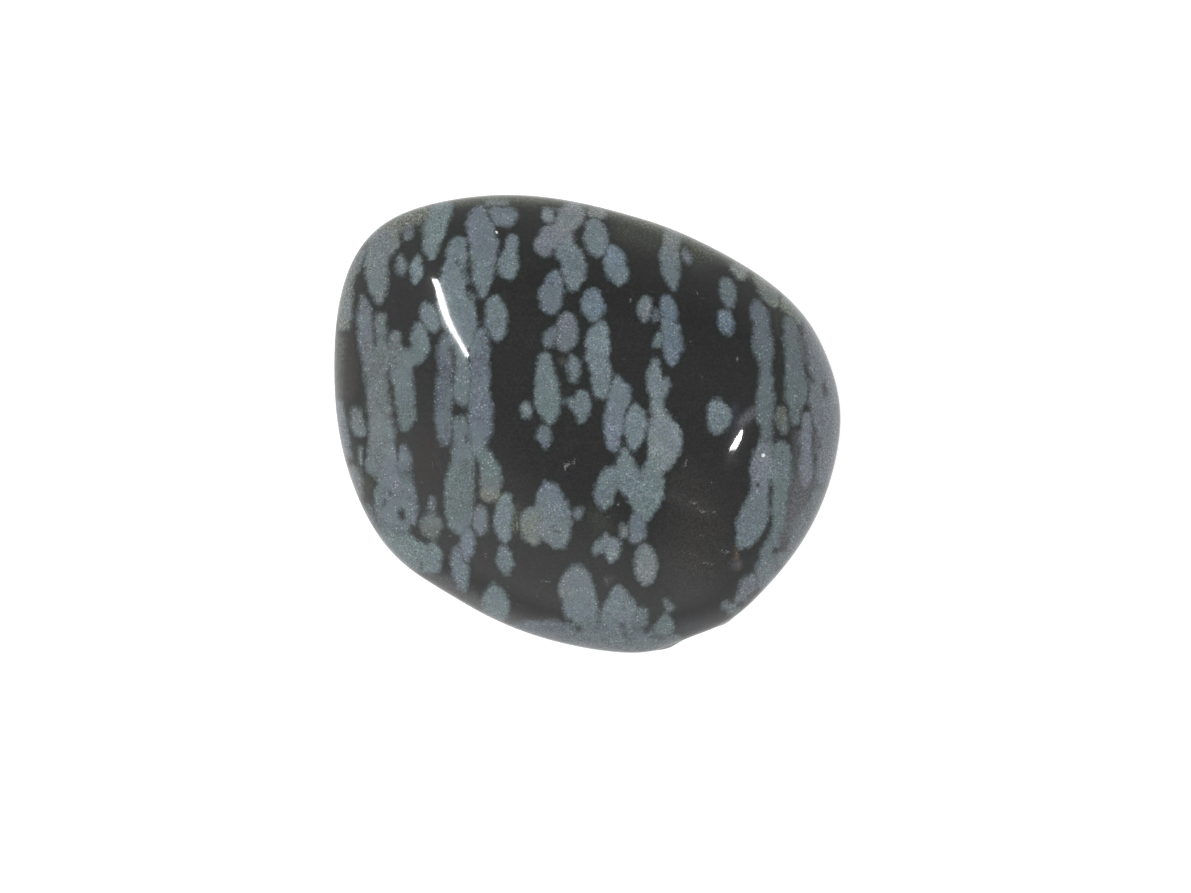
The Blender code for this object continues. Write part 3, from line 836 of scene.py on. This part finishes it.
class Field:
    """How deep each point of the skin lies in a set of strokes, in millimetres."""

    REACH = 1.4  # beyond this distance a stroke is not felt

    def __init__(self, count):
        self.depth = np.full(count, -self.REACH)
        self.next_depth = np.full(count, -self.REACH)

    def add(self, whole):
        """Adds a snowflake, and keeps how deep each point lies in the deepest one and in the next one."""
        self.next_depth = np.maximum(self.next_depth, np.minimum(self.depth, whole))
        self.depth = np.maximum(self.depth, whole)

    def near(self, chain, placed):
        """Which of the placed points are near a chain, and how deep each one is inside it."""
        reach = chain[:, 3].max() + self.REACH
        low, high = chain[:, :3].min(axis=0) - reach, chain[:, :3].max(axis=0) + reach
        chosen = np.flatnonzero(np.all((placed > low) & (placed < high), axis=1))
        near = placed[chosen]
        depth = np.full(len(chosen), -self.REACH)
        for start, stop in zip(chain, chain[1:]):
            along = stop[:3] - start[:3]
            share = np.clip((near - start[:3]) @ along / max(along @ along, 1e-9), 0, 1)
            away = np.linalg.norm(near - start[:3] - share[:, None] * along, axis=1)
            depth = np.maximum(depth, start[3] + share * (stop[3] - start[3]) - away)
        return chosen, depth


def snowflakes():
    """The strokes by snowflake: one that starts at a knot of the last snowflake is part of it."""
    groups = []
    knots_so_far = set()
    for stroke in FLAKES:
        places = [knot[:2] for knot in stroke[2]]
        if places[0] in knots_so_far:
            groups[-1].append(stroke)
            knots_so_far.update(places)
        else:
            groups.append([stroke])
            knots_so_far = set(places)
    return groups


def eased(depth, width):
    """From 0 to 1 over that width, half way where the depth is 0."""
    share = np.clip(0.5 + depth / width, 0, 1)
    return 3 * share**2 - 2 * share**3


def grow_snowflakes(stone, look):
    """Writes on the skin's points how deep they lie inside a snowflake, and the tints around them."""
    mesh = stone.data
    count = len(mesh.vertices)
    flat = np.empty(count * 3)
    mesh.vertices.foreach_get("co", flat)
    points = flat.reshape(count, 3) / MM
    faces = [tuple(face.vertices) for face in mesh.polygons]
    tree = BVHTree.FromPolygons([Vector(point) for point in points * MM], faces)
    field = Field(count)
    seen = as_seen(points)
    flake_tints = {name: np.array(linear(colour)[:3]) for name, colour in FLAKE_TINTS.items()}
    glass_tints = {name: np.array(linear(colour)[:3]) for name, colour in GLASS_TINTS.items()}
    tint = np.tile(flake_tints["slate"], (count, 1)) * TRACE
    weight = np.full(count, TRACE)

    def add(strokes, placed):
        whole = np.full(count, -field.REACH)
        for name, tone, chain in strokes:
            chosen, depth = field.near(chain, placed)
            whole[chosen] = np.maximum(whole[chosen], depth)
            share = np.exp(np.clip(depth, -field.REACH, TINT_DEPTH) / TINT_BLUR)
            tint[chosen] += share[:, None] * flake_tints[name] * tone
            weight[chosen] += share
        field.add(whole)

    for strokes in snowflakes():
        add([(name, tone, in_picture(knots)) for name, tone, knots in strokes], seen)
    for knots in FISSURES:
        chosen, depth = field.near(in_picture(knots), seen)
        field.depth[chosen] = np.minimum(field.depth[chosen], -depth)
    for name, chain in hidden_strokes(points, field.depth, tree, look.seed):
        add([(name, HIDDEN_TONE, chain)], points)

    glass = np.tile(glass_tints["black"], (count, 1))
    # Tinted glass, and along the rim partly a painted reflection of the room.
    for name, fade, strength, knots in CLOUDS_AND_PAINTED_SHEEN:
        chosen, depth = field.near(in_picture(knots), seen)
        share = strength * eased(depth, 2 * fade)
        glass[chosen] += share[:, None] * (glass_tints[name] - glass[chosen])
    dust = np.zeros(count)
    for density, knots in DUST:
        chosen, depth = field.near(in_picture(knots), seen)
        dust[chosen] = np.maximum(dust[chosen], density * eased(depth, 2 * DUST_FADE))
    # How deep each point lies inside a painted glint.
    painted_glint = np.full(count, -field.REACH)
    for knot in PAINTED_GLINTS:
        chosen, depth = field.near(in_picture((knot,)), seen)
        painted_glint[chosen] = np.maximum(painted_glint[chosen], depth)

    store(mesh, "dust", "FLOAT", dust)
    store(mesh, "painted_glint_depth", "FLOAT", painted_glint)
    store(mesh, "flake_depth", "FLOAT", field.depth)
    store(mesh, "flake_lead", "FLOAT", field.depth - field.next_depth)
    store(mesh, "flake_tint", "FLOAT_COLOR", tint / weight[:, None])
    store(mesh, "glass_tint_and_painted_reflection", "FLOAT_COLOR", glass)


def store(mesh, name, kind, values):
    """Writes an attribute of the mesh's points: a number or a colour for each."""
    layer = mesh.attributes.new(name, kind, "POINT")
    if kind == "FLOAT":
        layer.data.foreach_set("value", values.astype(np.float32))
    else:
        values = np.hstack((values, np.ones((len(values), 1))))
        layer.data.foreach_set("color", values.astype(np.float32).ravel())


def hidden_strokes(points, depth, tree, seed):
    """Snowflakes on the sides and the underside, in the same upright bands as those of the upper side."""
    chance = np.random.default_rng(seed)
    low_enough = points[:, 2] < WIDEST_HEIGHT - HIDDEN_BELOW
    taken = np.empty((0, 3))
    made = []
    for index in chance.permutation(np.flatnonzero(low_enough & (depth < -HIDDEN_CLEARANCE))):
        start = points[index]
        if len(taken):
            gap = (taken - start) * np.array(HIDDEN_CLOSENESS)
            if np.min(np.linalg.norm(gap, axis=1)) < HIDDEN_SPACING:
                continue
        taken = np.vstack((taken, start))
        if chance.random() < HIDDEN_GAPS:
            continue
        length = chance.uniform(*HIDDEN_LENGTHS)
        half = chance.uniform(*HIDDEN_HALF_WIDTHS)
        if chance.random() < HIDDEN_SMALL_ONES:
            length, half = HIDDEN_SMALL_SIZE
        steps = 2 + int(length / HIDDEN_KNOT_SPACING)
        lean = chance.normal(0.0, HIDDEN_LEAN)
        chain = []
        for step in range(steps):
            along = (step / (steps - 1) - 0.5) * length
            shift = chance.normal(0.0, HIDDEN_WOBBLE)
            guess = start + np.array((shift + lean * along, along, lean * along))
            spot = tree.find_nearest(Vector(guess * MM))[0]
            taper = 1.0 - HIDDEN_TAPER * abs(2 * step / (steps - 1) - 1)
            swell = taper + chance.normal(0.0, HIDDEN_SWELL)
            chain.append((*(np.array(spot) / MM), half * max(swell, HIDDEN_THINNEST)))
        made.append((HIDDEN_TINTS[chance.integers(len(HIDDEN_TINTS))], smooth_chain(chain)))
    return made


def polished_obsidian(look):
    """Snowflake obsidian, tumbled to a high polish: deep black glass with sharp reflections, in which
    opaque grey cristobalite spherulites show soft-edged, speckled and a little duller."""
    material = bpy.data.materials.new("polished_snowflake_obsidian")
    material.use_nodes = True
    tree = material.node_tree
    shader = tree.nodes["Principled BSDF"]
    add = partial(add_node, tree)
    place = add("ShaderNodeTexCoord").outputs["Object"]
    drawn = add(VECTOR, (place, DRAWN_OUT), operation="MULTIPLY")
    depth, lead, dust, painted_glint = (
        add("ShaderNodeAttribute", attribute_name=name).outputs["Fac"]
        for name in ("flake_depth", "flake_lead", "dust", "painted_glint_depth")
    )
    flake, glass = (
        add("ShaderNodeAttribute", attribute_name=name).outputs["Color"]
        for name in ("flake_tint", "glass_tint_and_painted_reflection")
    )
    flake_tints = {name: linear(colour) for name, colour in FLAKE_TINTS.items()}
    glass_tints = {name: linear(colour) for name, colour in GLASS_TINTS.items()}

    def grain(size, detail=1.0, roughness=0.5):
        """What a noise reads so that its grain is that many millimetres wide."""
        way = drawn if size < FINEST else place
        return {"Vector": way, "Scale": 1 / (size * MM), "Detail": detail, "Roughness": roughness}

    def patches(size, low, high, start=0.0, stop=1.0, **finer):
        """Soft patches of that size in mm, from start to stop where the noise goes from low to high."""
        return add(RAMP, (add(NOISE, grain(size, **finer)), low, high, start, stop), **SMOOTH)

    def specks(spacing, radius, share, stretch=(1, 1, 1)):
        """Dots in a share of the cells of a jittered grid, some of them fainter. Sizes are in mm. Each
        grid is shifted by its spacing, so that the dots of two grids don't fall together."""
        grid = add("ShaderNodeMapping", {"Vector": drawn, "Location": (spacing, 0, 0), "Scale": stretch})
        cells = add("ShaderNodeTexVoronoi", {"Vector": grid, "Scale": 1 / (spacing * MM)}).outputs
        fade, core = (part * radius / spacing for part in DOT_EDGE)
        dot = add(RAMP, (cells["Distance"], fade, core), **SMOOTH)
        parts = add("ShaderNodeSeparateColor", (cells["Color"],)).outputs
        chosen = add(MATHS, (parts[0], share), operation="LESS_THAN")
        strength = add(MATHS, (parts[1], 0.8, 0.2), operation="MULTIPLY_ADD")
        shown = add(MATHS, (dot, chosen), operation="MULTIPLY")
        return add(MATHS, (shown, strength), operation="MULTIPLY")

    def laid(colour, tint, share, strength=1.0, blend="MIX"):
        """A tint laid over the colour, by a share times a strength."""
        share = add(MATHS, (share, strength), operation="MULTIPLY")
        return add(MIX, {0: share, 6: colour, 7: tint}, data_type="RGBA", blend_type=blend)

    # The edge of a snowflake wanders by a tenth of a millimetre, and its needles end raggedly.
    edge = depth
    for size, swing, detail in EDGE_WAVES:
        ragged = add(MATHS, (add(NOISE, grain(size, detail)), swing, -swing / 2), operation="MULTIPLY_ADD")
        edge = add(MATHS, (edge, ragged), operation="ADD")
    fuzz = look.edge_fuzz / MM
    mask = add(RAMP, (edge, -fuzz / 2, fuzz / 2), **SMOOTH)

    # The crystals stand out more around the stone's belt.
    height = add("ShaderNodeSeparateXYZ", (place,)).outputs["Z"]
    height = add(MATHS, (height, WIDEST_HEIGHT * MM), operation="SUBTRACT")
    height = add(MATHS, (height,), operation="ABSOLUTE")
    belt = add(RAMP, (height, BELT[0] * MM, BELT[1] * MM), **SMOOTH)

    # Inside, the crystals are mottled finely, and drift in tone and hue over a millimetre. The real grain
    # is a few hundredths of a millimetre wide. It is drawn at a tenth, so that it shows.
    fine = patches(size=0.1, detail=2.0, roughness=0.6, low=0.25, high=0.75, start=-0.44, stop=0.44)
    depth_of_mottle = add(MATHS, (belt, 0.8, 1.0), operation="MULTIPLY_ADD")
    mottle = add(MATHS, (fine, depth_of_mottle, 1.0), operation="MULTIPLY_ADD")
    for size, swing in ((0.3, 0.1), (0.9, 0.07)):
        patch = patches(size, low=0.3, high=0.7, start=1 - swing, stop=1 + swing)
        mottle = add(MATHS, (mottle, patch), operation="MULTIPLY")
    flake = laid(flake, mottle, 1.0, blend="MULTIPLY")
    hue = add(NOISE, grain(size=0.16)).outputs["Color"]
    hue = add(VECTOR, (hue, (0.4, 0.4, 0.4), (0.8, 0.8, 0.8)), operation="MULTIPLY_ADD")
    flake = laid(flake, hue, 1.0, blend="MULTIPLY")
    for tint, size, low, high in (("violet", 1.6, 0.45, 0.65), ("green", 1.3, 0.52, 0.36)):
        flake = laid(flake, flake_tints[tint], patches(size, low, high), 0.4)

    # White needles and small pits show most near a snowflake's edge, and here and there inside.
    rim = add(RAMP, (edge, *RIM), **SMOOTH)
    outer = add(MATHS, (rim, patches(size=0.9, low=0.5, high=0.62)), operation="MAXIMUM")
    frost = add(MATHS, (outer, 0.5, 0.16), operation="MULTIPLY_ADD")
    flake = laid(flake, flake_tints["white"], specks(spacing=0.16, radius=0.045, share=0.5), frost)
    pits = add(MATHS, (outer, 0.6, 0.3), operation="MULTIPLY_ADD")
    flake = laid(flake, glass_tints["moss"], specks(spacing=0.18, radius=0.05, share=0.5), pits)

    # Where two snowflakes meet, a thin dark seam of glass is left between them.
    lead = add(MATHS, (lead, ragged), operation="ADD")
    flake = laid(flake, glass_tints["joint"], add(RAMP, (lead, *JOINT), **SMOOTH), 0.4)

    # The glass is darkest in a thin seam round each snowflake, but less so where it is hazy.
    parts = add("ShaderNodeSeparateColor", (glass,)).outputs
    haze = add(RAMP, (parts[1], *HAZY), **SMOOTH)
    seam = add(MATHS, (haze, -0.7, 0.8), operation="MULTIPLY_ADD")
    glass = laid(glass, glass_tints["pine"], add(RAMP, (edge, *SEAM), **SMOOTH), seam)

    # It flows in faint brown clouds, and holds a little dust of crystals and a few short threads.
    flow = patches(size=0.7, detail=3.0, roughness=0.6, low=0.45, high=0.75)
    glass = laid(glass, glass_tints["umber"], flow, 0.2)
    glass = laid(glass, glass_tints["smoke"], specks(spacing=1.1, radius=0.06, share=0.4), 0.7)
    threads = specks(spacing=0.5, radius=0.05, share=0.3, stretch=(0.3, 1, 1))
    threads = add(MATHS, (threads, patches(size=2.5, low=0.5, high=0.6)), operation="MULTIPLY")
    glass = laid(glass, glass_tints["smoke"], threads, 0.6)

    # Hazy glass is grainy, and where it is mossy it has dark and light grains.
    fine = patches(size=0.13, low=0.3, high=0.7, start=-0.34, stop=0.34)
    depth_of_grain = add(MATHS, (belt, 0.6, 1.0), operation="MULTIPLY_ADD")
    grainy = add(MATHS, (fine, depth_of_grain, 1.0), operation="MULTIPLY_ADD")
    glass = laid(glass, grainy, 1.0, blend="MULTIPLY")
    mossy = add(MATHS, (parts[1], parts[2]), operation="SUBTRACT")
    mossy = add(RAMP, (mossy, *MOSSY), **SMOOTH)
    glass = laid(glass, glass_tints["black"], specks(spacing=0.18, radius=0.06, share=0.7), mossy)
    glass = laid(glass, SALT_GAIN, specks(spacing=0.16, radius=0.05, share=0.5), mossy, blend="MULTIPLY")

    # Wisps of dust are made of single grains.
    dusty = add(MATHS, (add(NOISE, grain(size=0.1)), dust), operation="ADD")
    glass = laid(glass, glass_tints["dust"], add(RAMP, (dusty, *DUSTY), **SMOOTH), 0.5)

    colour = laid(glass, flake, mask)
    # The painted glints: a painted highlight laid over the colour as a near-white spot.
    colour = laid(colour, flake_tints["painted_glint"], add(RAMP, (painted_glint, *PAINTED_GLINT_EDGE), **SMOOTH))
    tree.links.new(colour.outputs[2], shader.inputs["Base Color"])
    duller = look.flake_roughness - look.glass_roughness
    rough = add(MATHS, (mask, duller, look.glass_roughness), operation="MULTIPLY_ADD")
    tree.links.new(rough.outputs[0], shader.inputs["Roughness"])
    # The belt is worn finely frosted, so that its sheen breaks up. The frosting is drawn coarser
    # than the real one, so that it shows.
    worn = {
        "Strength": add(MATHS, (belt, 3.0), operation="POWER"),
        "Distance": WEAR_HEIGHT * MM,
        "Height": add(NOISE, grain(size=0.12)),
    }
    tree.links.new(add("ShaderNodeBump", worn).outputs[0], shader.inputs["Normal"])
    shader.inputs["IOR"].default_value = GLASS_IOR
    shader.inputs["Coat Weight"].default_value = HAZE_WEIGHT
    shader.inputs["Coat Roughness"].default_value = HAZE_ROUGHNESS
    return material


class OBSIDIAN_OT_pebble(bpy.types.Operator):
    """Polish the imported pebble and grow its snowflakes"""

    bl_idname = "obsidian.pebble"
    bl_label = "Polish pebble"

    def execute(self, context):
        look = context.scene.obsidian_pebble
        stone = polished_skin(look, polished_obsidian(look))
        grow_snowflakes(stone, look)
        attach(stone, "root")
        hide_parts(STONE)
        return {"FINISHED"}


def pale_floor(studio):
    """Smooth white acrylic, lit from below as on a light table, so that it casts next to no shadow."""
    material = bpy.data.materials.new("white_acrylic")
    material.use_nodes = True
    tree = material.node_tree
    shader = tree.nodes["Principled BSDF"]
    place = add_node(tree, "ShaderNodeTexCoord").outputs["Object"]
    grain = add_node(tree, NOISE, {"Vector": place, "Scale": 1 / FLOOR_GRAIN})
    tints = {0: grain, 6: linear(studio.floor_colour), 7: linear(FLOOR_LIGHTEST)}
    tone = add_node(tree, MIX, tints, data_type="RGBA")
    tree.links.new(tone.outputs[2], shader.inputs["Base Color"])
    shader.inputs["Roughness"].default_value = FLOOR_ROUGHNESS
    shader.inputs["Specular IOR Level"].default_value = FLOOR_GLOSS
    shader.inputs["Emission Color"].default_value = linear("#FFFFFF")
    shader.inputs["Emission Strength"].default_value = studio.floor_glow
    return material


def soft_room():
    """A dim ceiling, lighter walls and a light grey table, with a window at the near left."""
    world = bpy.data.worlds.new("Soft room")
    world.use_nodes = True
    tree = world.node_tree
    add = partial(add_node, tree)
    way = add("ShaderNodeTexCoord").outputs["Generated"]
    up = add(VECTOR, (way, UP), operation="DOT_PRODUCT")
    light = add(RAMP, (up, 1.0, 0.0, CEILING_LIGHT, WALL_LIGHT), **SMOOTH)
    for operation, strength, *edges in ROOM_PATCHES:
        patch = strength
        for direction, low, high in edges:
            lean = add(VECTOR, (way, direction), operation="DOT_PRODUCT")
            patch = add(MATHS, (patch, add(RAMP, (lean, low, high), **SMOOTH)), operation="MULTIPLY")
        light = add(MATHS, (light, patch), operation=operation)
    backdrop = tree.nodes["Background"]
    backdrop.inputs["Color"].default_value = linear("#FFFFFF")
    tree.links.new(light.outputs[0], backdrop.inputs["Strength"])
    bpy.context.scene.world = world


def toward(azimuth, elevation):
    """The place of a lamp that is seen from the stone's middle in that direction in degrees."""
    azimuth, elevation = math.radians(azimuth), math.radians(elevation)
    flat = LAMP_DISTANCE * math.cos(elevation)
    place = (flat * math.cos(azimuth), flat * math.sin(azimuth), LAMP_DISTANCE * math.sin(elevation))
    return Vector(place) + Vector((0, 0, WIDEST_HEIGHT * MM))


def strip_lamp(name, start, stop, width, radiance):
    """A soft strip between two places that faces the stone. Its power follows from its radiance."""
    light = bpy.data.lights.new(name, "AREA")
    light.shape = "RECTANGLE"
    light.size = width
    light.size_y = (stop - start).length
    light.energy = radiance * math.pi * light.size * light.size_y
    lamp = link_object(name, light)
    along = (stop - start).normalized()
    back = (start + stop) / 2 - Vector((0, 0, WIDEST_HEIGHT * MM))
    back = (back - along * back.dot(along)).normalized()
    turned = Matrix((along.cross(back), along, back)).transposed().to_4x4()
    lamp.matrix_world = Matrix.Translation((start + stop) / 2) @ turned
    return lamp


def bent_lamp(name, stops, radiance):
    """A row of strips along a smooth curve through the stops."""
    curve = smooth_chain(stops)[::2]
    for count, (start, stop) in enumerate(zip(curve, curve[1:])):
        width = (start[2] + stop[2]) / 2 * MM
        strip_lamp(f"{name}_{count}", toward(*start[:2]), toward(*stop[:2]), width, radiance)


class OBSIDIAN_OT_stage(bpy.types.Operator):
    """Set up the floor, the lights and the camera"""

    bl_idname = "obsidian.stage"
    bl_label = "Set stage"

    def execute(self, context):
        scene = context.scene
        studio = scene.obsidian_studio
        scene.view_settings.view_transform = "Standard"
        shape = bmesh.new()
        bmesh.ops.create_grid(shape, x_segments=1, y_segments=1, size=FLOOR_REACH)
        bmesh.ops.translate(shape, verts=shape.verts[:], vec=(0, 0, -FLOOR_DROP))
        mesh = bpy.data.meshes.new("floor")
        shape.to_mesh(mesh)
        shape.free()
        mesh.materials.append(pale_floor(studio))
        floor = link_object("floor", mesh)
        floor.visible_glossy = False

        soft_room()
        fill = strip_lamp("overhead_fill", *(Vector(end) for end in FILL_ENDS), FILL_WIDTH, studio.fill)
        fill.visible_glossy = False
        bent_lamp("left_lamp", LEFT_LAMP, studio.left_lamp)
        for count, (azimuth, lowest, highest) in enumerate(RIGHT_LAMP):
            ends = toward(azimuth, lowest), toward(azimuth, highest)
            strip_lamp(f"right_lamp_{count}", *ends, RUNG_WIDTH * MM, studio.right_lamp)

        camera = bpy.data.cameras.new("camera")
        camera.sensor_width = SENSOR_WIDTH
        camera.lens = SENSOR_WIDTH * studio.distance / studio.field
        eye = link_object("camera", camera)
        eye.location = (EYE[0] * MM, EYE[1] * MM, WIDEST_HEIGHT * MM + studio.distance)
        scene.camera = eye
        return {"FINISHED"}


class OBSIDIAN_PT_panel(bpy.types.Panel):
    """Lists the steps and their settings"""

    bl_idname = "OBSIDIAN_PT_panel"
    bl_label = "Snowflake obsidian"
    bl_space_type = "VIEW_3D"
    bl_region_type = "UI"
    bl_category = "Obsidian"

    def draw(self, context):
        for settings, operator in (
            (context.scene.obsidian_pebble, OBSIDIAN_OT_pebble.bl_idname),
            (context.scene.obsidian_studio, OBSIDIAN_OT_stage.bl_idname),
        ):
            box = self.layout.box()
            for name in type(settings).__annotations__:
                box.prop(settings, name)
            box.operator(operator)


CLASSES = (PebbleSettings, StudioSettings, OBSIDIAN_OT_pebble, OBSIDIAN_OT_stage, OBSIDIAN_PT_panel)


def register():
    for made in CLASSES:
        bpy.utils.register_class(made)
    bpy.types.Scene.obsidian_pebble = bpy.props.PointerProperty(type=PebbleSettings)
    bpy.types.Scene.obsidian_studio = bpy.props.PointerProperty(type=StudioSettings)


def unregister():
    del bpy.types.Scene.obsidian_studio
    del bpy.types.Scene.obsidian_pebble
    for made in reversed(CLASSES):
        bpy.utils.unregister_class(made)


def main():
    register()
    bpy.ops.obsidian.pebble()
    bpy.ops.obsidian.stage()


if __name__ == "__main__":
    main()
